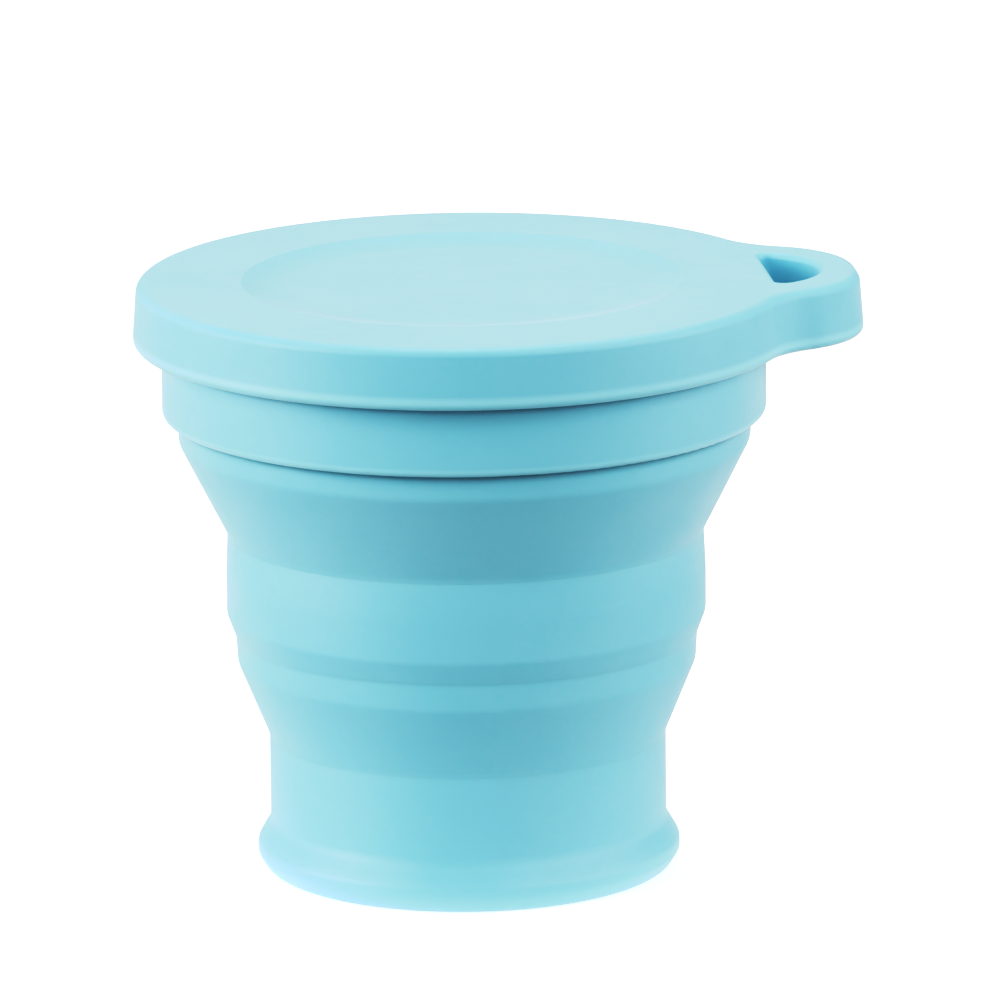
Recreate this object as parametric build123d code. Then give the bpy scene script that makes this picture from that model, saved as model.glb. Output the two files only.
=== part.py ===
from build123d import *

# A collapsible travel cup with a press-on lid, standing open on its foot.
#
# Row frame: +Z up, origin at the centre of the foot's resting face, +X towards the lid's hang loop.
# Sizes are in millimetres.
#
# On the real cup the silicone bowl is one moulding. Its thick bands stay rigid while the thin webs
# between them roll inside out, so the bowl is written as the pieces that move apart: base_cup,
# lower_fold_web, middle_band, upper_fold_web and mouth_cuff. They meet face to face.

import math
import os

# ---- Heights above the table, cup open -------------------------------------------------------------
CUP_HEIGHT = 80.0  # top of the closed lid
COLLAR_TOP = 76.6
COLLAR_BOTTOM = 62.1  # also the top of the upper fold web
UPPER_CREASE = 46.1  # upper fold web meets the middle band
BAND_BOTTOM = 31.9  # middle band meets the lower fold web
LOWER_CREASE = 18.4  # lower fold web meets the base cup

# ---- Outside radii ---------------------------------------------------------------------------------
LID_RADIUS = 44.0
COLLAR_RADIUS = 40.2
CUFF_RADIUS = 38.3  # silicone inside the collar, and the top of the upper fold web
UPPER_CREASE_RADIUS = 31.75
BAND_RADIUS = 32.0
BAND_BOTTOM_RADIUS = 30.8
BASE_RADIUS = 26.5
FOOT_RADIUS = 28.25

# ---- Walls and clearances --------------------------------------------------------------------------
BAND_WALL = 2.0  # thick silicone bands
WEB_WALL = 1.15  # thin fold webs, across the radius
FLOOR_WALL = 2.2
CUFF_WALL = 1.35
LID_TOP_WALL = 1.7
RING_GAP = 0.05  # collar around the cuff
LID_GAP = 0.3  # lid around the collar and over the lip

# ---- Fold webs -------------------------------------------------------------------------------------
UPPER_SHOULDER = 3.5  # near-upright stretch at the top of the web
LOWER_SHOULDER = 3.5
SHOULDER_LEAN = 0.3  # how far that stretch leans in
SHOULDER_ROUND = 3.0

# ---- Lid -------------------------------------------------------------------------------------------
LID_SIDE_HEIGHT = 8.2  # top face to the skirt's lower edge
LID_TAPER = 4.0  # the skirt's draft in degrees, narrower at the top
LID_TOP_EDGE = 1.3
LID_LOWER_EDGE = 1.0
DISH_RADIUS = 29.4  # shallow dish in the top face
DISH_DEPTH = 0.9
DISH_SLOPE = 3.2  # width of the dish's sloping wall
DISH_ROUND = 22.0  # between the slope and the dish's floor
RIB_RADIUS = 36.6  # sealing rib that enters the mouth
RIB_WALL = 1.3
RIB_DEPTH = 3.0

# ---- Hang loop, an ear on the lid ------------------------------------------------------------------
LOOP_REACH = 53.4  # radius about Z of the ear's tip
LOOP_CORNER = 14.0
LOOP_TURN = 3.0  # degrees from X to where the tip's arc ends and a corner begins
LOOP_BLEND = 12.0  # hollow round between the ear and the lid
HOLE_CENTRE = 37.4  # centre of the hole's round side, along X
HOLE_RADIUS = 10.3
HOLE_INNER = 40.8  # the hole's straight side, along X
HOLE_CORNER = 1.1
HOLE_TOP_EDGE = 0.8
HOLE_LOWER_EDGE = 0.3

# ---- Rim, band and foot details --------------------------------------------------------------------
COLLAR_EDGE = 0.9
LIP_INSET = 0.35  # the lip ends this far inside the collar's face
KEY_BOTTOM = 69.0  # ridge on the cuff, in a groove in the collar
KEY_HEIGHT = 1.8
KEY_DEPTH = 0.55
BEVEL_HEIGHT = 3.4  # down-facing bevel under the middle band
FOOT_HEIGHT = 6.6
FOOT_WIDEST = 3.6
FOOT_EDGE = 1.8
FOOT_NECK = 3.0  # hollow round where the foot flares out of the wall
FLOOR_ROUND = 3.5  # inside, between the wall and the floor
RELIEF_DEPTH = 0.8  # ring-shaped relief in the underside
RELIEF_INNER = 11.0
RELIEF_OUTER = 20.0
SOFT_EDGE = 0.5  # moulded edges

LID_BOTTOM = CUP_HEIGHT - LID_SIDE_HEIGHT
LID_UNDERSIDE = CUP_HEIGHT - LID_TOP_WALL
LIP_TOP = LID_UNDERSIDE - LID_GAP
FLOOR_TOP = RELIEF_DEPTH + FLOOR_WALL


def turned(outline):
    """Turn a closed outline about Z. Each point is (radius, height) or (radius, height, rounding)."""
    face = make_face(Plane.XZ * Polyline(*[point[:2] for point in outline], close=True))
    for radius, height, *rounding in outline:
        if rounding:
            corner = face.vertices().sort_by_distance((radius, 0, height))[0]
            face = fillet(corner, rounding[0])
    return revolve(face, Axis.Z)


def base_cup():
    """The lowest band with the floor, the flared foot and a relief ring in the underside."""
    inner = BASE_RADIUS - BAND_WALL
    return turned([
        (0, 0),
        (RELIEF_INNER, 0),
        (RELIEF_INNER + RELIEF_DEPTH, RELIEF_DEPTH),
        (RELIEF_OUTER - RELIEF_DEPTH, RELIEF_DEPTH),
        (RELIEF_OUTER, 0),
        (FOOT_RADIUS, 0, FOOT_EDGE),
        (FOOT_RADIUS, FOOT_WIDEST, FOOT_EDGE),
        (BASE_RADIUS, FOOT_HEIGHT, FOOT_NECK),
        (BASE_RADIUS, LOWER_CREASE),
        (inner, LOWER_CREASE, SOFT_EDGE),
        (inner, FLOOR_TOP, FLOOR_ROUND),
        (0, FLOOR_TOP),
    ])


def fold_web(bottom, top, shoulder, bottom_radius, top_radius):
    """A thin cone under a near-upright shoulder."""
    corner = top - shoulder
    corner_radius = top_radius - SHOULDER_LEAN
    return turned([
        (bottom_radius, bottom),
        (corner_radius, corner, SHOULDER_ROUND),
        (top_radius, top),
        (top_radius - WEB_WALL, top),
        (corner_radius - WEB_WALL, corner, SHOULDER_ROUND),
        (bottom_radius - WEB_WALL, bottom),
    ])


def lower_fold_web():
    """The web between the base cup and the middle band."""
    return fold_web(LOWER_CREASE, BAND_BOTTOM, LOWER_SHOULDER, BASE_RADIUS, BAND_BOTTOM_RADIUS)


def middle_band():
    """The thick band between the two folds, with a bevel running in to the lower web."""
    inner = UPPER_CREASE_RADIUS - BAND_WALL
    return turned([
        (BAND_BOTTOM_RADIUS, BAND_BOTTOM),
        (BAND_RADIUS, BAND_BOTTOM + BEVEL_HEIGHT, BEVEL_HEIGHT),
        (UPPER_CREASE_RADIUS, UPPER_CREASE),
        (inner, UPPER_CREASE, SOFT_EDGE),
        (BAND_BOTTOM_RADIUS - WEB_WALL, BAND_BOTTOM),
    ])


def upper_fold_web():
    """The web between the middle band and the rim."""
    return fold_web(UPPER_CREASE, COLLAR_BOTTOM, UPPER_SHOULDER, UPPER_CREASE_RADIUS, CUFF_RADIUS)


def mouth_cuff():
    """The silicone lining of the collar, with its locking ridge and the drinking lip."""
    inner = CUFF_RADIUS - CUFF_WALL
    lip_bottom = COLLAR_TOP + RING_GAP
    lip_radius = COLLAR_RADIUS - LIP_INSET
    return turned([
        (inner, COLLAR_BOTTOM),
        (CUFF_RADIUS, COLLAR_BOTTOM),
        (CUFF_RADIUS, KEY_BOTTOM),
        (CUFF_RADIUS + KEY_DEPTH, KEY_BOTTOM + KEY_DEPTH),
        (CUFF_RADIUS + KEY_DEPTH, KEY_BOTTOM + KEY_HEIGHT - KEY_DEPTH),
        (CUFF_RADIUS, KEY_BOTTOM + KEY_HEIGHT),
        (CUFF_RADIUS, lip_bottom),
        (lip_radius, lip_bottom),
        (lip_radius, LIP_TOP, 2 * SOFT_EDGE),
        (inner, LIP_TOP, 2 * SOFT_EDGE),
    ])


def rim_collar():
    """The stiff ring that keeps the mouth round, with a groove for the cuff's ridge."""
    inner = CUFF_RADIUS + RING_GAP
    return turned([
        (inner, COLLAR_BOTTOM),
        (COLLAR_RADIUS, COLLAR_BOTTOM, COLLAR_EDGE),
        (COLLAR_RADIUS, COLLAR_TOP, SOFT_EDGE),
        (inner, COLLAR_TOP),
        (inner, KEY_BOTTOM + KEY_HEIGHT + RING_GAP),
        (inner + KEY_DEPTH, KEY_BOTTOM + KEY_HEIGHT - KEY_DEPTH + RING_GAP),
        (inner + KEY_DEPTH, KEY_BOTTOM + KEY_DEPTH - RING_GAP),
        (inner, KEY_BOTTOM - RING_GAP),
    ])


def lid_plan():
    """The lid seen from above: a disc with the hang loop's ear blended into it."""
    tip_width = 2 * LOOP_REACH * math.sin(math.radians(LOOP_TURN))
    tip = Circle(LOOP_REACH) & Pos(LOOP_REACH, 0) * Rectangle(LOOP_REACH, tip_width)
    plan = Circle(LID_RADIUS) + tip
    for turn in (-LOOP_TURN, LOOP_TURN):
        plan += Rot(0, 0, turn) * Pos(LOOP_REACH - LOOP_CORNER, 0) * Circle(LOOP_CORNER)
    joins = plan.vertices().filter_by(lambda v: abs(v.Y) > LOOP_CORNER)
    return fillet(joins, LOOP_BLEND)


def loop_hole():
    """The through-hole seen from above, round towards the tip and straight towards the lid."""
    beyond = Pos(HOLE_INNER + HOLE_RADIUS, 0) * Rectangle(2 * HOLE_RADIUS, 2 * HOLE_RADIUS)
    hole = Pos(HOLE_CENTRE, 0) * Circle(HOLE_RADIUS) & beyond
    return fillet(hole.vertices(), HOLE_CORNER)


def lid_blank():
    """The lid's outside without its hollow: draft, soft edges and the loop's hole."""
    blank = extrude(Pos(0, 0, LID_BOTTOM) * lid_plan(), LID_SIDE_HEIGHT, taper=LID_TAPER)
    blank = fillet(blank.faces().sort_by(Axis.Z)[-1].edges(), LID_TOP_EDGE)
    blank = fillet(blank.faces().sort_by(Axis.Z)[0].edges(), LID_LOWER_EDGE)
    blank -= extrude(Pos(0, 0, LID_BOTTOM) * loop_hole(), LID_SIDE_HEIGHT)
    levels = blank.faces().sort_by(Axis.Z)
    for level, edge in ((levels[0], HOLE_LOWER_EDGE), (levels[-1], HOLE_TOP_EDGE)):
        blank = fillet(level.inner_wires()[0].edges(), edge)
    return blank


def lid():
    """The press-on lid in one moulding: dished top, skirt, sealing rib and hang loop."""
    skirt_inner = COLLAR_RADIUS + LID_GAP
    slope_inner = DISH_RADIUS - DISH_SLOPE
    dish = turned([
        (0, CUP_HEIGHT - DISH_DEPTH),
        (slope_inner, CUP_HEIGHT - DISH_DEPTH, DISH_ROUND),
        (DISH_RADIUS, CUP_HEIGHT),
        (0, CUP_HEIGHT),
    ])
    hollow = turned([
        (0, LID_BOTTOM),
        (skirt_inner, LID_BOTTOM),
        (skirt_inner, LID_UNDERSIDE, 2 * SOFT_EDGE),
        (DISH_RADIUS, LID_UNDERSIDE),
        (slope_inner, LID_UNDERSIDE - DISH_DEPTH),
        (0, LID_UNDERSIDE - DISH_DEPTH),
    ])
    rib = turned([
        (RIB_RADIUS - RIB_WALL, LID_UNDERSIDE - RIB_DEPTH, SOFT_EDGE),
        (RIB_RADIUS, LID_UNDERSIDE - RIB_DEPTH, SOFT_EDGE),
        (RIB_RADIUS, LID_UNDERSIDE),
        (RIB_RADIUS - RIB_WALL, LID_UNDERSIDE),
    ])
    return lid_blank() - dish - hollow + rib


os.makedirs("parts", exist_ok=True)
for make in (base_cup, lower_fold_web, middle_band, upper_fold_web, mouth_cuff, rim_collar, lid):
    part = make()
    part.label = make.__name__
    export_step(part, f"parts/{make.__name__}.step")
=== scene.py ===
import math

import bpy
from mathutils import Matrix, Vector

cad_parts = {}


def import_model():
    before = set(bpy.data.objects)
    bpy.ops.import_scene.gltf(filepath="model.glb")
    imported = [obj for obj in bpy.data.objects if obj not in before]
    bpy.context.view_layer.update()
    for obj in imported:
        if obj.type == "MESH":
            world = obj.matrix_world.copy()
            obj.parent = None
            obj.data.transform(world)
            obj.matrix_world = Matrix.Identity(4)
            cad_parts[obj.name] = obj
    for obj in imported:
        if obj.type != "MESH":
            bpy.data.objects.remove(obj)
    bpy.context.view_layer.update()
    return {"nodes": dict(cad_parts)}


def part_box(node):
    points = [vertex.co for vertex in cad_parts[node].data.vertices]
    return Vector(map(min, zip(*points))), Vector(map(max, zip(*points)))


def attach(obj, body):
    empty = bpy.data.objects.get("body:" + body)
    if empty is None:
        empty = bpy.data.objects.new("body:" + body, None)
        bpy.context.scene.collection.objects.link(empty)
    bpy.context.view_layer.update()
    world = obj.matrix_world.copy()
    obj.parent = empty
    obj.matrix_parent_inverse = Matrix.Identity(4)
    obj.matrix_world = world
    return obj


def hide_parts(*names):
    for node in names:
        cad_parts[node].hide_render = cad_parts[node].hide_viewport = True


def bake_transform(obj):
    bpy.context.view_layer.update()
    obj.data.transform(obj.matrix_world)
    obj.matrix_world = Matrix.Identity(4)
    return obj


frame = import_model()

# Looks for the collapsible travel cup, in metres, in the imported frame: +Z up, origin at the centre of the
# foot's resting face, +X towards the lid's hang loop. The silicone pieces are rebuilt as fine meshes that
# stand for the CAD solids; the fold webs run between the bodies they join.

MM = 0.001

# ---- Places read from the frame, in metres -----------------------------------------------------------
BASE_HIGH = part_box("base_cup")[1]
LOWER_WEB_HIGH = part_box("lower_fold_web")[1]
BAND_LOW, BAND_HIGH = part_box("middle_band")
UPPER_WEB_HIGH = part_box("upper_fold_web")[1]
CUFF_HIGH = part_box("mouth_cuff")[1]
COLLAR_LOW, COLLAR_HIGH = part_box("rim_collar")
LID_LOW, LID_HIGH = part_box("lid")

LOWER_CREASE = BASE_HIGH.z
BAND_BOTTOM = BAND_LOW.z
UPPER_CREASE = BAND_HIGH.z
COLLAR_BOTTOM = COLLAR_LOW.z
COLLAR_TOP = COLLAR_HIGH.z
LIP_TOP = CUFF_HIGH.z
LID_BOTTOM = LID_LOW.z
LID_TOP = LID_HIGH.z

FOOT_RADIUS = BASE_HIGH.x
LOWER_SHOULDER_RADIUS = LOWER_WEB_HIGH.x
BAND_RADIUS = BAND_HIGH.x
CUFF_RADIUS = UPPER_WEB_HIGH.x
COLLAR_RADIUS = COLLAR_HIGH.x
LIP_RADIUS = CUFF_HIGH.x
LID_RADIUS = 44 * MM
BASE_RADIUS = 26.5 * MM
UPPER_CREASE_RADIUS = 31.75 * MM

# ---- Walls and clearances, in metres -----------------------------------------------------------------
BAND_WALL = 2.0 * MM
WEB_WALL = 1.1 * MM
CUFF_WALL = 1.35 * MM
LID_TOP_WALL = 1.7 * MM
LID_GAP = 0.3 * MM

# ---- Details of the turned outlines, in millimetres --------------------------------------------------
SOFT = 0.6  # rounding of a moulded edge
CRISP = 0.3
RELIEF_DEPTH = 0.8  # ring-shaped relief under the foot
RELIEF_RADII = (10.9, 11.8, 19.2, 20.1)
FOOT_TREAD_INSET = 1.35  # the foot's lower edge pulls in to the face it rests on
FOOT_TREAD_HEIGHT = 2.2
FOOT_WIDEST = 3.6
FOOT_HEIGHT = 6.6
FOOT_NECK = 3.0
FLOOR_TOP = 3.0
FLOOR_ROUND = 3.5
BEVEL_HEIGHT = 3.2  # down-facing bevel under the middle band
BEVEL_ROUND = 2.4
BAND_CROWN_HEIGHT = 9  # the band's face turns in above this height
BAND_CROWN = 20
LIP_GAP = 0.05  # lip over the collar
LIP_ROUND = 1.3
WEB_TUCK = 1.4  # how far a web's ends run on inside the bands
WEB_SKIN = 0.02  # how far under the bands' faces they run
WEB_SHOULDER = 3.5  # near-upright stretch at the top of a web
WEB_ROUND = 3.0
WEB_STEP = 0.3
DISH_DEPTH = 0.9
DISH_RADIUS = 29.4
DISH_FLOOR_RADIUS = 26.2
DISH_FLOOR_ROUND = 22
LID_TOP_FLAT = 33  # the flat round the dish starts at this radius
LID_TAPER = 0.6  # the side leans in by this much at the top
LID_TOP_EDGE = 1.3
LID_LOWER_EDGE = 1.0
LID_EDGE_RUN = 8  # flat stretches that the edge roundings run out on
RIB_INNER = 35.3  # sealing rib that enters the mouth
RIB_OUTER = 36.6
RIB_DEPTH = 3.0

# ---- Fineness ----------------------------------------------------------------------------------------
COLUMNS = 240  # columns of a turned piece
CREASE_ANGLE = math.radians(40)  # edges sharper than this stay crisp
ON_AXIS = 1e-7  # a point nearer the axis than this is on it


# ---- Mesh helpers ------------------------------------------------------------------------------------
def mm(length):
    return length / MM


def rounded(corners, steps=7, closed=True):
    """Points, in metres, of an outline of (radius, height[, rounding]) corners in millimetres."""
    points = [Vector(corner[:2]) * MM for corner in corners]
    outline = []
    for index, corner in enumerate(corners):
        here = points[index]
        inside = closed or 0 < index < len(corners) - 1
        if len(corner) < 3 or not inside:
            outline.append(here)
            continue
        back = (points[index - 1] - here).normalized()
        ahead = (points[(index + 1) % len(points)] - here).normalized()
        half = back.angle(ahead) / 2
        radius = corner[2] * MM
        centre = here + (back + ahead).normalized() * radius / math.sin(half)
        first = here + back * radius / math.tan(half) - centre
        last = here + ahead * radius / math.tan(half) - centre
        sweep = first.angle_signed(last)
        for step in range(steps + 1):
            turn = Matrix.Rotation(-sweep * step / steps, 2)
            outline.append(centre + turn @ first)
    return outline


def smoothed(points, spacing):
    """The polyline through points, cut into steps of about spacing."""
    fine = [points[0]]
    for first, last in zip(points, points[1:]):
        count = max(1, round((last - first).length / spacing))
        fine += [first.lerp(last, step / count) for step in range(1, count + 1)]
    return fine


def new_piece(name, vertices, faces, material, slot):
    """A smooth-shaded object made from vertices and faces, with sharp edges kept crisp."""
    mesh = bpy.data.meshes.new(name)
    mesh.from_pydata([tuple(vertex) for vertex in vertices], [], faces)
    mesh.validate()
    mesh.shade_smooth()
    mesh.set_sharp_from_angle(angle=CREASE_ANGLE)
    mesh.materials.append(material)
    piece = bpy.data.objects.new(name, mesh)
    bpy.context.scene.collection.objects.link(piece)
    return piece


def turn(outline, columns=COLUMNS, closed=True):
    """Vertices and faces of an outline of (radius, height) points turned about Z."""
    vertices = []
    rows = []
    for radius, height in outline:
        if radius < ON_AXIS:
            rows.append([len(vertices)] * columns)
            vertices.append((0, 0, height))
            continue
        rows.append(range(len(vertices), len(vertices) + columns))
        for column in range(columns):
            angle = math.tau * column / columns
            vertices.append((radius * math.cos(angle), radius * math.sin(angle), height))
    pairs = list(zip(rows, rows[1:]))
    if closed and rows[0][0] != rows[0][1]:
        pairs.append((rows[-1], rows[0]))
    faces = []
    for low, high in pairs:
        for column in range(columns):
            after = (column + 1) % columns
            ring = (low[column], low[after], high[after], high[column])
            faces.append(tuple(dict.fromkeys(ring)))
    return vertices, faces


def keep_flats(piece):
    """Weighted normals, so that soft edges don't darken the flat faces beside them."""
    modifier = piece.modifiers.new("flats", "WEIGHTED_NORMAL")
    modifier.keep_sharp = True
    modifier.weight = 90


# ---- Materials ---------------------------------------------------------------------------------------
class Nodes:
    """A material's node tree with short calls for adding and joining nodes."""

    def __init__(self, name):
        self.material = bpy.data.materials.new(name)
        self.material.use_nodes = True
        self.tree = self.material.node_tree
        self.shader = self.tree.nodes["Principled BSDF"]
        self.place = self.add("ShaderNodeTexCoord").outputs["Object"]

    def add(self, kind, inputs=None, **settings):
        node = self.tree.nodes.new(kind)
        for setting, value in settings.items():
            setattr(node, setting, value)
        for key, value in (inputs or {}).items():
            self.put(node.inputs[key], value)
        return node

    def put(self, socket, value):
        if isinstance(value, bpy.types.NodeSocket):
            self.tree.links.new(value, socket)
        else:
            socket.default_value = value

    def noise(self, scale, detail=2.0, roughness=0.5):
        inputs = {"Vector": self.place, "Scale": scale, "Detail": detail, "Roughness": roughness}
        return self.add("ShaderNodeTexNoise", inputs).outputs["Fac"]

    def remap(self, value, low, high, to_low=0.0, to_high=1.0):
        inputs = {"Value": value, "From Min": low, "From Max": high, "To Min": to_low, "To Max": to_high}
        return self.add("ShaderNodeMapRange", inputs).outputs["Result"]

    def mix(self, factor, first, second):
        node = self.add("ShaderNodeMix", data_type="RGBA")
        for key, value in (("Factor_Float", factor), ("A_Color", first), ("B_Color", second)):
            socket = next(s for s in node.inputs if s.identifier == key)
            self.put(socket, value)
        return next(s for s in node.outputs if s.identifier == "Result_Color")

    def math(self, operation, first, second):
        node = self.add("ShaderNodeMath", {0: first, 1: second}, operation=operation)
        return node.outputs["Value"]

    def bump(self, height, strength, distance, normal=None):
        inputs = {"Height": height, "Strength": strength, "Distance": distance}
        if normal:
            inputs["Normal"] = normal
        return self.add("ShaderNodeBump", inputs).outputs["Normal"]


def colour(red, green, blue):
    """A node colour from linear red, green and blue."""
    return (red, green, blue, 1.0)


AQUA = colour(0.215, 0.56, 0.71)
AQUA_DEEP = colour(0.195, 0.54, 0.69)
AQUA_PALE = colour(0.24, 0.58, 0.72)
AQUA_PAINTED_HIGHLIGHT = colour(0.31, 0.71, 0.84)  # painted highlight: the paler colour painted on thin lower edges for the light they catch
# Painted shade: the dark colour mixed in where a close part shades the surface, and how far off that part
# may be.
PAINTED_SHADE_TINT = colour(0.02, 0.20, 0.27)
PAINTED_SHADE_REACH = 2.3 * MM


def moulded(name, roughness, translucence, grain, sheen, edge=None, painted_shade=False):
    """Matte moulded material: cloudy, finely mottled tint, powdery grain and faint flow waves.

    edge is (start, full, share): heights between which a lower edge is painted paler, a painted highlight
    for the light that thin edges catch and let through, and how much. The last flag, when true, paints
    shade into the
    colour: a painted shade, darker where a part above or beside shades closely.
    """
    nodes = Nodes(name)
    cloud = nodes.remap(nodes.noise(38, 3), 0.35, 0.65)
    tint = nodes.mix(cloud, AQUA_DEEP, AQUA_PALE)
    tint = nodes.mix(0.55, tint, AQUA)
    mottle = nodes.remap(nodes.noise(900, 3, 0.7), 0.3, 0.7, 0.0, 0.35)
    tint = nodes.mix(mottle, tint, AQUA_DEEP)
    # Painted highlight: the lower edge is painted paler between two heights, for the light it catches.
    if edge:
        start, full, share = edge
        height = nodes.add("ShaderNodeSeparateXYZ", {0: nodes.place}).outputs["Z"]
        tint = nodes.mix(nodes.remap(height, start, full, 0.0, share), tint, AQUA_PAINTED_HIGHLIGHT)
    # Painted shade: ambient occlusion darkens the colour where a part above or beside shades closely.
    if painted_shade:
        shade = nodes.add("ShaderNodeAmbientOcclusion", {"Distance": PAINTED_SHADE_REACH}, samples=16)
        tint = nodes.mix(nodes.remap(shade.outputs["AO"], 0.84, 0.71), tint, PAINTED_SHADE_TINT)
    nodes.put(nodes.shader.inputs["Base Color"], tint)

    polish = nodes.remap(nodes.noise(140, 4, 0.6), 0.3, 0.7, roughness - 0.05, roughness + 0.05)
    nodes.put(nodes.shader.inputs["Roughness"], polish)
    nodes.put(nodes.shader.inputs["IOR"], 1.43)
    nodes.put(nodes.shader.inputs["Specular IOR Level"], 0.7)
    nodes.put(nodes.shader.inputs["Subsurface Weight"], translucence)
    nodes.put(nodes.shader.inputs["Subsurface Radius"], (0.7, 1.0, 1.15))
    nodes.put(nodes.shader.inputs["Subsurface Scale"], 1.6 * MM)
    nodes.put(nodes.shader.inputs["Sheen Weight"], sheen)
    nodes.put(nodes.shader.inputs["Sheen Roughness"], 0.45)
    nodes.put(nodes.shader.inputs["Sheen Tint"], colour(0.9, 0.98, 1.0))

    waves = nodes.bump(nodes.noise(55, 1), 0.12, 0.3 * MM)
    powder = nodes.bump(nodes.noise(2600, 2, 0.7), grain, 0.05 * MM, waves)
    nodes.put(nodes.shader.inputs["Normal"], powder)
    return nodes.material


# Painted highlights: where each lower edge starts to be painted paler, where it is palest, and how much.
FOOT_PAINTED_HIGHLIGHT = (5 * MM, 0.5 * MM, 0.6)
LID_PAINTED_HIGHLIGHT = (LID_BOTTOM + 2.0 * MM, LID_BOTTOM + 1.4 * MM, 0.8)
COLLAR_PAINTED_HIGHLIGHT = (COLLAR_BOTTOM + 1.2 * MM, COLLAR_BOTTOM + 0.6 * MM, 0.8)

BODY_FINISH = {"roughness": 0.50, "translucence": 0.35, "grain": 0.22, "sheen": 0.12}
LID_FINISH = {"roughness": 0.52, "translucence": 0.35, "grain": 0.25, "sheen": 0.25}
COLLAR_FINISH = {"roughness": 0.44, "translucence": 0.12, "grain": 0.14, "sheen": 0.12}
# The body and collar get painted shade in their colour; the foot, lid and collar get painted highlights on
# their lower edges.
SILICONE = moulded("silicone_body", **BODY_FINISH, painted_shade=True)
SILICONE_FOOT = moulded("silicone_foot", **BODY_FINISH, edge=FOOT_PAINTED_HIGHLIGHT)
SILICONE_LID = moulded("silicone_lid", **LID_FINISH, edge=LID_PAINTED_HIGHLIGHT)
COLLAR_PLASTIC = moulded("collar_plastic", **COLLAR_FINISH, edge=COLLAR_PAINTED_HIGHLIGHT, painted_shade=True)


# ---- The bowl ----------------------------------------------------------------------------------------
def bowl_base():
    """Lowest band, floor and flared foot, with the relief ring under the foot."""
    foot = mm(FOOT_RADIUS)
    wall = mm(BASE_RADIUS)
    inner = wall - mm(BAND_WALL)
    crease = mm(LOWER_CREASE)
    relief_heights = (0, RELIEF_DEPTH, RELIEF_DEPTH, 0)
    outline = rounded([
        (0, 0),
        *((radius, height, CRISP) for radius, height in zip(RELIEF_RADII, relief_heights)),
        (foot - FOOT_TREAD_INSET, 0, 1.8),
        (foot, FOOT_TREAD_HEIGHT, 1.2),
        (foot, FOOT_WIDEST, 1.6),
        (wall, FOOT_HEIGHT, FOOT_NECK),
        (wall, crease),
        (inner, crease, SOFT),
        (inner, FLOOR_TOP, FLOOR_ROUND),
        (0, FLOOR_TOP),
    ])
    piece = new_piece("bowl_base", *turn(outline), SILICONE_FOOT, "silicone_body")
    keep_flats(piece)
    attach(piece, "base")
    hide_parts("base_cup")


def bowl_band():
    """The thick middle band: near-upright face, rounded in at its lower edge."""
    low, high = mm(BAND_BOTTOM), mm(UPPER_CREASE)
    web_inner = mm(LOWER_SHOULDER_RADIUS - WEB_WALL)
    outline = rounded([
        (mm(LOWER_SHOULDER_RADIUS), low),
        (mm(BAND_RADIUS), low + BEVEL_HEIGHT, BEVEL_ROUND),
        (mm(BAND_RADIUS), low + BAND_CROWN_HEIGHT, BAND_CROWN),
        (mm(UPPER_CREASE_RADIUS), high),
        (mm(UPPER_CREASE_RADIUS - BAND_WALL), high, SOFT),
        (web_inner - CRISP, low, 0.4),
    ])
    piece = new_piece("bowl_band", *turn(outline), SILICONE, "silicone_body")
    keep_flats(piece)
    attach(piece, "middle")
    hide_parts("middle_band")


def bowl_cuff():
    """The lining of the collar and the drinking lip over it."""
    inner = mm(CUFF_RADIUS - CUFF_WALL)
    lip_bottom = mm(COLLAR_TOP) + LIP_GAP
    outline = rounded([
        (inner, mm(COLLAR_BOTTOM), 0.4),
        (mm(CUFF_RADIUS), mm(COLLAR_BOTTOM), 0.15),
        (mm(CUFF_RADIUS), lip_bottom),
        (mm(LIP_RADIUS), lip_bottom, 0.25),
        (mm(LIP_RADIUS), mm(LIP_TOP), SOFT),
        (inner, mm(LIP_TOP), LIP_ROUND),
    ])
    piece = new_piece("bowl_cuff", *turn(outline), SILICONE, "silicone_body")
    keep_flats(piece)
    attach(piece, "rim")
    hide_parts("mouth_cuff")


def fold_web(name, corners, node):
    """A thin sheet from one band to the next. It keeps its wall thickness as it rolls over."""
    outline = smoothed(rounded(corners, closed=False), WEB_STEP * MM)
    piece = new_piece(name, *turn(outline, closed=False), SILICONE, "silicone_body")
    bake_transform(piece)
    wall = piece.modifiers.new("wall", "SOLIDIFY")
    wall.thickness = WEB_WALL
    wall.offset = -1
    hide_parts(node)


def fold_webs():
    """Both webs. Their ends run on just inside the thick bands, so no seam shows or opens."""
    crease = mm(BASE_RADIUS) - WEB_SKIN
    top = mm(LOWER_SHOULDER_RADIUS)
    low, high = mm(LOWER_CREASE), mm(BAND_BOTTOM)
    bevel = (mm(BAND_RADIUS) - top) / BEVEL_HEIGHT
    corners = [
        (crease, low - WEB_TUCK),
        (crease, low, WEB_ROUND),
        (top - 0.2, high - WEB_SHOULDER, WEB_ROUND),
        (top, high, 2.5),
        (top + WEB_TUCK * bevel - WEB_SKIN, high + WEB_TUCK),
    ]
    fold_web("bowl_lower_web", corners, "lower_fold_web")

    crease = mm(UPPER_CREASE_RADIUS) - WEB_SKIN
    top = mm(CUFF_RADIUS)
    low, high = mm(UPPER_CREASE), mm(COLLAR_BOTTOM)
    corners = [
        (crease, low - WEB_TUCK),
        (crease, low, WEB_ROUND),
        (top - 0.25, high - WEB_SHOULDER, WEB_ROUND),
        (top - 0.05, high, 2),
        (top - 0.1, high + WEB_TUCK),
    ]
    fold_web("bowl_upper_web", corners, "upper_fold_web")


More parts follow.
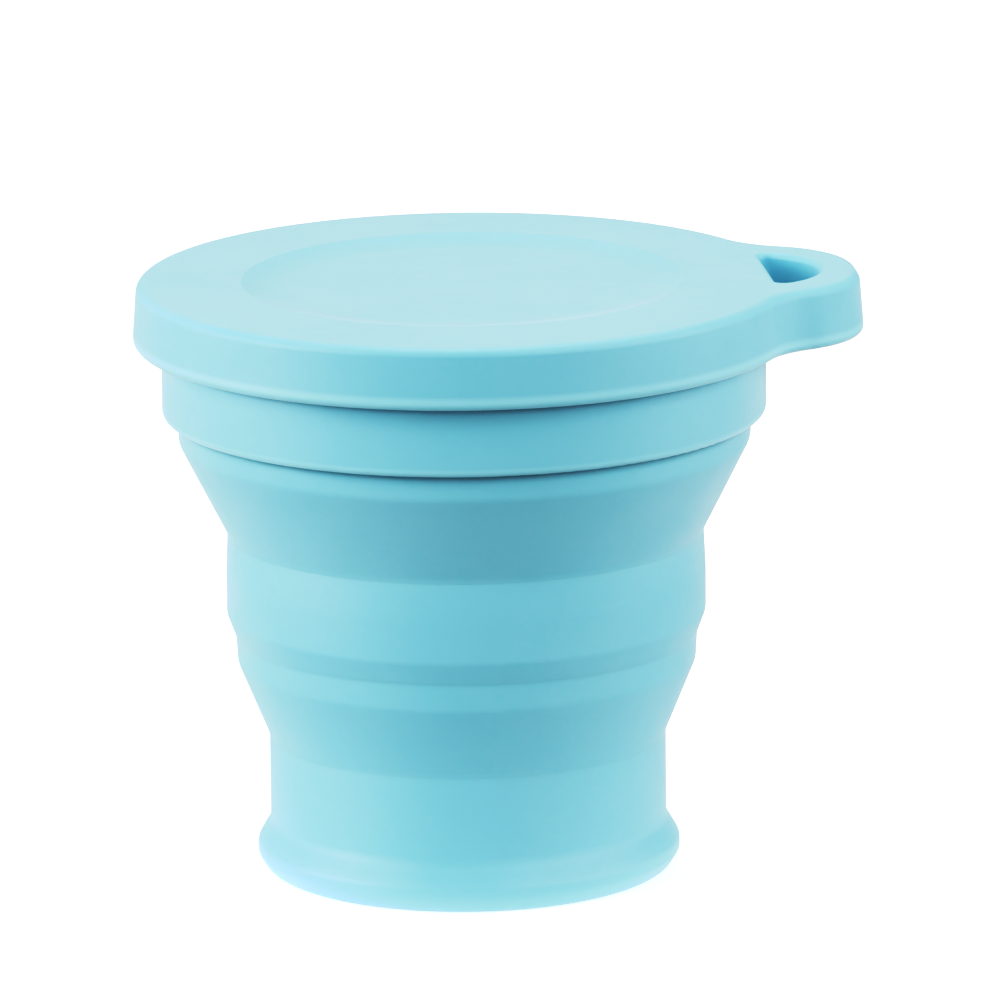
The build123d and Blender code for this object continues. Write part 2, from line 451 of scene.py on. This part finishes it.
# ---- The lid -----------------------------------------------------------------------------------------
EAR_REACH = 53.4 * MM  # the tip's arc about the cup's axis
EAR_CORNER = 14.0 * MM
EAR_TURN = math.radians(3)  # where the tip's arc ends and a corner begins
EAR_BLEND = 12.0 * MM
HOLE_CENTRE = Vector((37.4 * MM, 0))  # of the hole's round side
HOLE_RADIUS = 10.3 * MM
HOLE_INNER = 40.8 * MM  # the hole's straight side
HOLE_CORNER = 1.1 * MM
HOLE_TOP_EDGE = 0.8  # millimetres
HOLE_LOWER_EDGE = 0.3  # millimetres
HOLE_MIDDLE = Vector((44.0 * MM, 0))
EAR_SPAN = math.radians(34)  # half of the sector that the ear's columns fill
EAR_COLUMNS = 110
ROUND_COLUMNS = 196
HOLE_COLUMNS = 27  # columns on each side of the hole's centre line
HOLE_ROWS = 12
HOLE_SHARE = 0.3  # the gap in the top starts this far out, of the way from the flat's start to the outline
RIM_SHARE = 0.94  # both gaps end this far out


def polar(radius, angle):
    return Vector((radius * math.cos(angle), radius * math.sin(angle)))


def opposite(near, other, far):
    """The angle across from side far in a triangle with sides near, other and far."""
    return math.acos((near ** 2 + other ** 2 - far ** 2) / (2 * near * other))


CORNER_REACH = EAR_REACH - EAR_CORNER
BLEND_REACH = LID_RADIUS + EAR_BLEND
BLEND_TURN = EAR_TURN + opposite(CORNER_REACH, BLEND_REACH, EAR_CORNER + EAR_BLEND)
CORNER_CENTRE = polar(CORNER_REACH, EAR_TURN)
BLEND_CENTRE = polar(BLEND_REACH, BLEND_TURN)


def ray_to_circle(ray, centre, radius, far):
    """Distance along a unit ray from the origin to a circle's near or far side."""
    along = ray.dot(centre)
    half = math.sqrt(max(0.0, radius ** 2 - centre.length_squared + along ** 2))
    return along + half if far else along - half


def lid_radius(angle, inset):
    """Distance from the axis to the lid's outline, moved in by inset, in the direction angle."""
    angle = abs(math.remainder(angle, math.tau))
    if angle >= BLEND_TURN:
        return LID_RADIUS - inset
    if angle <= EAR_TURN:
        return EAR_REACH - inset
    ray = polar(1, angle)
    join = CORNER_CENTRE + (BLEND_CENTRE - CORNER_CENTRE).normalized() * (EAR_CORNER - inset)
    if angle >= math.atan2(join.y, join.x):
        return ray_to_circle(ray, BLEND_CENTRE, EAR_BLEND + inset, far=False)
    return ray_to_circle(ray, CORNER_CENTRE, EAR_CORNER - inset, far=True)


def hole_radius(angle, grow):
    """Distance from HOLE_MIDDLE to the hole's outline, grown by grow, in the direction angle."""
    ray = Vector((math.cos(angle), abs(math.sin(angle))))
    corner_x = HOLE_INNER + HOLE_CORNER
    corner_y = math.sqrt((HOLE_RADIUS - HOLE_CORNER) ** 2 - (corner_x - HOLE_CENTRE.x) ** 2)
    corner_centre = Vector((corner_x, corner_y))
    outward = (corner_centre - HOLE_CENTRE).normalized()
    round_end = HOLE_CENTRE + outward * (HOLE_RADIUS + grow) - HOLE_MIDDLE
    inner_end = Vector((HOLE_INNER - grow, corner_y)) - HOLE_MIDDLE
    direction = math.atan2(ray.y, ray.x)
    if direction <= math.atan2(round_end.y, round_end.x):
        return ray_to_circle(ray, HOLE_CENTRE - HOLE_MIDDLE, HOLE_RADIUS + grow, far=True)
    if direction <= math.atan2(inner_end.y, inner_end.x):
        return ray_to_circle(ray, corner_centre - HOLE_MIDDLE, HOLE_CORNER + grow, far=True)
    return inner_end.x / ray.x


def lid_angles():
    """Column directions: close together across the ear, wider round the rest of the lid."""
    ear = [EAR_SPAN * (2 * column / EAR_COLUMNS - 1) for column in range(EAR_COLUMNS)]
    rest = math.tau - 2 * EAR_SPAN
    return ear + [EAR_SPAN + rest * column / ROUND_COLUMNS for column in range(ROUND_COLUMNS)]


def lid_rows():
    """The lid's section, from the top's centre out, down the side and back under to the centre.

    Each row is a function that gives (radius, height) for a column's direction. The two numbers are the
    rows where the hole's gap starts, on the top and on the underside.
    """
    top, bottom = mm(LID_TOP), mm(LID_BOTTOM)
    under = top - mm(LID_TOP_WALL)
    skirt = mm(COLLAR_RADIUS + LID_GAP)

    def ring(point):
        return lambda angle: (point.x, point.y)

    def edge(point):
        return lambda angle: (lid_radius(angle, -point.x), point.y)

    def between(inner, inset, height, share):
        return lambda angle: (inner + (lid_radius(angle, inset) - inner) * share, height)

    dish = rounded([
        (0, top - DISH_DEPTH),
        (DISH_FLOOR_RADIUS, top - DISH_DEPTH, DISH_FLOOR_ROUND),
        (DISH_RADIUS, top, 0.4),
        (LID_TOP_FLAT, top),
    ], closed=False)
    rows = [ring(point) for point in smoothed(dish, 3 * MM)]

    side = rounded([
        (-LID_EDGE_RUN, top),
        (-LID_TAPER, top, LID_TOP_EDGE),
        (0, bottom, LID_LOWER_EDGE),
        (-LID_EDGE_RUN, bottom),
    ], closed=False)[1:-1]
    top_inset, low_inset = -side[0].x, -side[-1].x
    steps = [step / HOLE_ROWS for step in range(HOLE_ROWS + 1)]
    shares = [HOLE_SHARE / 2] + [HOLE_SHARE + (RIM_SHARE - HOLE_SHARE) * step for step in steps]
    hole_top = len(rows) + 1
    rows += [between(LID_TOP_FLAT * MM, top_inset, LID_TOP, share) for share in shares]
    rows += [edge(point) for point in side]

    inner = (skirt + 0.2) * MM
    hole_low = len(rows)
    rows += [between(inner, low_inset, LID_BOTTOM, RIM_SHARE * (1 - step)) for step in steps]

    inside = rounded([
        (skirt + 0.2, bottom),
        (skirt, bottom + 0.2),
        (skirt, under, 1.0),
        (RIB_OUTER, under),
        (RIB_OUTER, under - RIB_DEPTH, SOFT),
        (RIB_INNER, under - RIB_DEPTH, SOFT),
        (RIB_INNER, under, SOFT),
        (DISH_RADIUS, under, 2),
        (DISH_FLOOR_RADIUS, under - DISH_DEPTH, 20),
        (0, under - DISH_DEPTH),
    ], closed=False)[1:]
    rows += [ring(point) for point in smoothed(inside, 4 * MM)]
    return rows, hole_top, hole_low


def lid_grid(rows, angles):
    """Vertices of every row in every direction, and each row's list of vertex numbers."""
    vertices, index = [], []
    for row in rows:
        line = []
        for angle in angles:
            radius, height = row(angle)
            if radius < ON_AXIS:
                line = [len(vertices)] * len(angles)
                vertices.append((0, 0, height))
                break
            line.append(len(vertices))
            vertices.append((radius * math.cos(angle), radius * math.sin(angle), height))
        index.append(line)
    return vertices, index


def lid_mesh():
    """Vertices and faces of the lid, with the loop's hole let through the ear."""
    angles = lid_angles()
    rows, hole_top, hole_low = lid_rows()
    middle = EAR_COLUMNS // 2
    gap_columns = range(middle - HOLE_COLUMNS, middle + HOLE_COLUMNS)
    vertices, index = lid_grid(rows, angles)
    faces = []
    open_rows = [*range(hole_top, hole_top + HOLE_ROWS), *range(hole_low, hole_low + HOLE_ROWS)]
    for row, (low, high) in enumerate(zip(index, index[1:])):
        for column in range(len(angles)):
            if row in open_rows and column in gap_columns:
                continue
            after = (column + 1) % len(angles)
            ring = (low[column], high[column], high[after], low[after])
            faces.append(tuple(dict.fromkeys(ring)))
    faces += hole_wall(vertices, index, gap_columns, hole_top, hole_low)
    return without_loose(vertices, faces)


def without_loose(vertices, faces):
    """The same mesh without the vertices that no face uses."""
    used = sorted({corner for face in faces for corner in face})
    renumber = {old: new for new, old in enumerate(used)}
    faces = [tuple(renumber[corner] for corner in face) for face in faces]
    return [vertices[old] for old in used], faces


def hole_loop(index, gap_columns, inner_row, outer_row):
    """The loop of vertices round a gap in the grid, anticlockwise from above."""
    first, last = gap_columns[0], gap_columns[-1] + 1
    step = 1 if outer_row > inner_row else -1
    loop = [index[outer_row][column] for column in range(first, last)]
    loop += [index[row][last] for row in range(outer_row, inner_row, -step)]
    loop += [index[inner_row][column] for column in range(last, first, -1)]
    loop += [index[row][first] for row in range(inner_row, outer_row, step)]
    return loop


def hole_wall(vertices, index, gap_columns, hole_top, hole_low):
    """Faces from the gap in the top, down through the hole's soft-edged wall, to the gap below."""
    upper = hole_loop(index, gap_columns, hole_top, hole_top + HOLE_ROWS)
    lower = hole_loop(index, gap_columns, hole_low + HOLE_ROWS, hole_low)

    def direction(vertex):
        x, y, _ = vertices[vertex]
        return math.atan2(y, x - HOLE_MIDDLE.x) % math.tau

    def average(first, second):
        return first + math.remainder(second - first, math.tau) / 2

    directions = [average(direction(high), direction(low)) for high, low in zip(upper, lower)]
    top, bottom = mm(LID_TOP), mm(LID_BOTTOM)
    section = rounded([
        (3, top),
        (0, top, HOLE_TOP_EDGE),
        (0, bottom, HOLE_LOWER_EDGE),
        (3, bottom),
    ], closed=False)[1:-1]
    loops = [upper]
    for grow, height in section:
        loop = []
        for angle in directions:
            radius = hole_radius(angle, grow)
            loop.append(len(vertices))
            x = HOLE_MIDDLE.x + radius * math.cos(angle)
            vertices.append((x, radius * math.sin(angle), height))
        loops.append(loop)
    loops.append(lower)
    faces = []
    for high, low in zip(loops, loops[1:]):
        for corner in range(len(high)):
            after = (corner + 1) % len(high)
            faces.append((high[corner], high[after], low[after], low[corner]))
    return faces


def lid():
    """The press-on lid with its dish, sealing rib and hang loop."""
    piece = new_piece("lid_shell", *lid_mesh(), SILICONE_LID, "silicone_lid")
    keep_flats(piece)
    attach(piece, "cover")
    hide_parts("lid")


def collar():
    """The CAD ring keeps its shape and gets the collar's plastic."""
    ring = frame["nodes"]["rim_collar"]
    for slot in ring.material_slots:
        slot.material = COLLAR_PLASTIC


# ---- Studio ------------------------------------------------------------------------------------------
TONE_MIDDLE = 0.538  # light that the curve brings to half of white
TONE_CONTRAST = 2.0
TONE_WHITE = 1.5  # light that shows as white
FLOOR_GLOW = 0.7
FLOOR_NEAR = colour(0.6, 0.6, 0.6)  # what the floor gives back to the cup, close by and farther out
FLOOR_FAR = colour(0.07, 0.07, 0.07)
FOOT_GLOW = 0.8  # light from the floor right round the foot
WALLS_LIGHT = 0.5  # how bright the studio's walls are in reflections
AIM = Vector((0, 0, 0.04))
# Six of the powers began as a least-squares balance of test renders, with key_high fixed, and
# were then rounded and adjusted.
LIGHTS = (  # name, place, size in metres, power in watts
    ("key_high", (-0.75, -0.35, 0.45), 0.6, 6.0),
    ("key_low", (-0.85, -0.05, 0.15), 0.6, 8.2),
    ("fill", (0.85, -0.15, 0.3), 0.6, 5.4),
    ("fill_front", (0.55, -0.7, 0.5), 0.5, 5.2),
    ("top", (0.05, 0.2, 0.9), 0.8, 6.8),
    ("front", (0, -0.9, 0.9), 0.7, 1.4),
    ("back", (-0.6, 0.6, 0.3), 0.5, 1.0),
)


def floor():
    """A wide pale floor that shows paler than the light it gives back, as draped studios do."""
    half = 4.0
    corners = [(-half, -half, 0), (half, -half, 0), (half, half, 0), (-half, half, 0)]
    nodes = Nodes("floor_paint")
    shade = nodes.mix(nodes.noise(3, 2), colour(0.93, 0.935, 0.94), colour(0.95, 0.95, 0.95))
    nodes.put(nodes.shader.inputs["Base Color"], shade)
    nodes.put(nodes.shader.inputs["Roughness"], 0.7)
    nodes.put(nodes.shader.inputs["Specular IOR Level"], 0.2)
    nodes.put(nodes.shader.inputs["Emission Color"], colour(1, 1, 1))
    distance = nodes.add("ShaderNodeVectorMath", {0: nodes.place}, operation="LENGTH").outputs["Value"]
    path = nodes.add("ShaderNodeLightPath").outputs
    far_glow = nodes.remap(distance, 0.25, 0.6, 0.0, TONE_WHITE - FLOOR_GLOW)
    far_glow = nodes.math("MULTIPLY", far_glow, path["Is Camera Ray"])
    nodes.put(nodes.shader.inputs["Emission Strength"], nodes.math("ADD", far_glow, FLOOR_GLOW))
    bounce = nodes.remap(distance, 0.03, 0.10)
    bounce = nodes.mix(bounce, FLOOR_NEAR, FLOOR_FAR)
    drape = nodes.add("ShaderNodeBsdfDiffuse", {"Color": bounce}).outputs["BSDF"]
    near = nodes.remap(distance, 0.029, 0.038, FOOT_GLOW, 0.0)
    glow = nodes.add("ShaderNodeEmission", {"Strength": near}).outputs["Emission"]
    drape = nodes.add("ShaderNodeAddShader", {0: drape, 1: glow}).outputs["Shader"]
    seen = nodes.math("MAXIMUM", path["Is Camera Ray"], path["Is Glossy Ray"])
    both = nodes.add("ShaderNodeMixShader", {0: seen, 1: drape, 2: nodes.shader.outputs["BSDF"]})
    nodes.put(nodes.tree.nodes["Material Output"].inputs["Surface"], both.outputs["Shader"])
    mesh = bpy.data.meshes.new("floor")
    mesh.from_pydata(corners, [], [(0, 1, 2, 3)])
    mesh.materials.append(nodes.material)
    plane = bpy.data.objects.new("floor", mesh)
    bpy.context.scene.collection.objects.link(plane)


def softbox(name, place, size, power):
    """A square area light aimed at the cup."""
    light = bpy.data.lights.new(name, "AREA")
    light.size = size
    light.energy = power
    lamp = bpy.data.objects.new(name, light)
    lamp.location = place
    lamp.rotation_euler = (AIM - lamp.location).to_track_quat("-Z", "Y").to_euler()
    bpy.context.scene.collection.objects.link(lamp)


def world():
    """A dark room, but reflections see pale studio walls and the camera sees white behind the floor."""
    scene = bpy.context.scene
    scene.world = bpy.data.worlds.new("room")
    scene.world.use_nodes = True
    tree = scene.world.node_tree
    shown = tree.nodes["Background"].outputs["Background"]
    tree.nodes["Background"].inputs["Strength"].default_value = 0.0
    path = tree.nodes.new("ShaderNodeLightPath")
    for ray, strength in (("Is Glossy Ray", WALLS_LIGHT), ("Is Camera Ray", TONE_WHITE)):
        white = tree.nodes.new("ShaderNodeBackground")
        white.name = ray
        white.inputs["Color"].default_value = colour(1, 1, 1)
        white.inputs["Strength"].default_value = strength
        mix = tree.nodes.new("ShaderNodeMixShader")
        tree.links.new(path.outputs[ray], mix.inputs["Fac"])
        tree.links.new(shown, mix.inputs[1])
        tree.links.new(white.outputs["Background"], mix.inputs[2])
        shown = mix.outputs["Shader"]
    tree.links.new(shown, tree.nodes["World Output"].inputs["Surface"])


def camera():
    """A long lens a little above the cup, with the hang loop on the right and turned slightly away."""
    elevation = math.radians(13.3)
    azimuth = math.radians(-96.5)
    distance = 1.6
    width = 133.4 * MM
    data = bpy.data.cameras.new("camera")
    data.sensor_width = 36.0
    data.lens = data.sensor_width * distance / width
    view = bpy.data.objects.new("camera", data)
    target = Vector((0.0047, 0.0004, 0.0495))
    level = math.cos(elevation)
    out = Vector((math.cos(azimuth) * level, math.sin(azimuth) * level, math.sin(elevation)))
    view.location = target + out * distance
    roll = Matrix.Rotation(math.radians(-0.6), 3, "Z")
    view.rotation_euler = ((-out).to_track_quat("-Z", "Y").to_matrix() @ roll).to_euler()
    bpy.context.scene.collection.objects.link(view)
    bpy.context.scene.camera = view


def grade():
    """A soft S-curve on scene light, as a camera's own processing gives."""
    settings = bpy.context.scene.view_settings
    settings.view_transform = "Standard"
    settings.use_curve_mapping = True
    mapping = settings.curve_mapping
    mapping.white_level = (TONE_WHITE,) * 3
    curve = mapping.curves[3]
    steps = 10
    for step in range(1, steps - 1):  # from the last of these points the curve runs on to white
        light = step / steps
        shown = 1 / (1 + (TONE_MIDDLE / (light * TONE_WHITE)) ** TONE_CONTRAST)
        curve.points.new(light, shown)
    mapping.update()


bowl_base()
fold_webs()
bowl_band()
bowl_cuff()
collar()
lid()

floor()
world()
for light in LIGHTS:
    softbox(*light)
camera()
grade()
